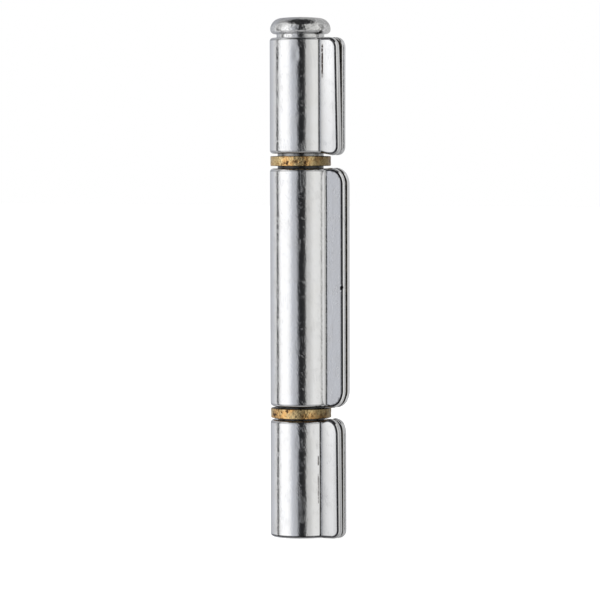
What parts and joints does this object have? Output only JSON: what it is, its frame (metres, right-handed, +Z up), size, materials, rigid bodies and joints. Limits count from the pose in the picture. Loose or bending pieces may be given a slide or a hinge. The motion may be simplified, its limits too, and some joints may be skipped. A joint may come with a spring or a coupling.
{
  "type": "weld-on hinge",
  "caption": "Weld-on barrel hinge with folded sheet-steel leaves, brass thrust washers between them and a pull-out headed pin.",
  "frame": {"origin": "on the pin axis, in the plane of the hinge's flat lower end", "axes": "+Z up the pin axis towards the pin's head; +X from the axis along the lower leaf's wing; +Y completes the right-handed frame"},
  "size_m": [0.0236, 0.0178, 0.15],
  "materials": {
    "bright_zinc": "bright zinc plating on polished sheet steel",
    "satin_zinc": "satin zinc plating, with a forged head",
    "brass": "dull turned brass with small dents"
  },
  "bodies": {
    "lower_leaf": {"lower_leaf": "bright_zinc"},
    "lower_washer": {"lower_washer": "brass"},
    "middle_leaf": {"middle_leaf": "bright_zinc"},
    "upper_washer": {"upper_washer": "brass"},
    "upper_leaf": {"upper_leaf": "bright_zinc"},
    "hinge_pin": {"hinge_pin": "satin_zinc"}
  },
  "joints": [
    {"name": "middle_leaf_swing", "type": "hinge", "parent": "lower_leaf", "child": "middle_leaf", "pos_m": [0, 0, 0.07215], "axis": [0, 0, 1], "continuous": true},
    {"name": "upper_leaf_swing", "type": "hinge", "parent": "lower_leaf", "child": "upper_leaf", "pos_m": [0, 0, 0.1274], "axis": [0, 0, 1], "continuous": true},
    {"name": "lower_washer_spin", "type": "hinge", "parent": "lower_leaf", "child": "lower_washer", "pos_m": [0, 0, 0.0358], "axis": [0, 0, 1], "continuous": true},
    {"name": "upper_washer_spin", "type": "hinge", "parent": "lower_leaf", "child": "upper_washer", "pos_m": [0, 0, 0.1085], "axis": [0, 0, 1], "continuous": true},
    {"name": "pin_pull", "type": "slide", "parent": "lower_leaf", "child": "hinge_pin", "axis": [0, 0, 1], "range_m": [0, 0.15]}
  ]
}
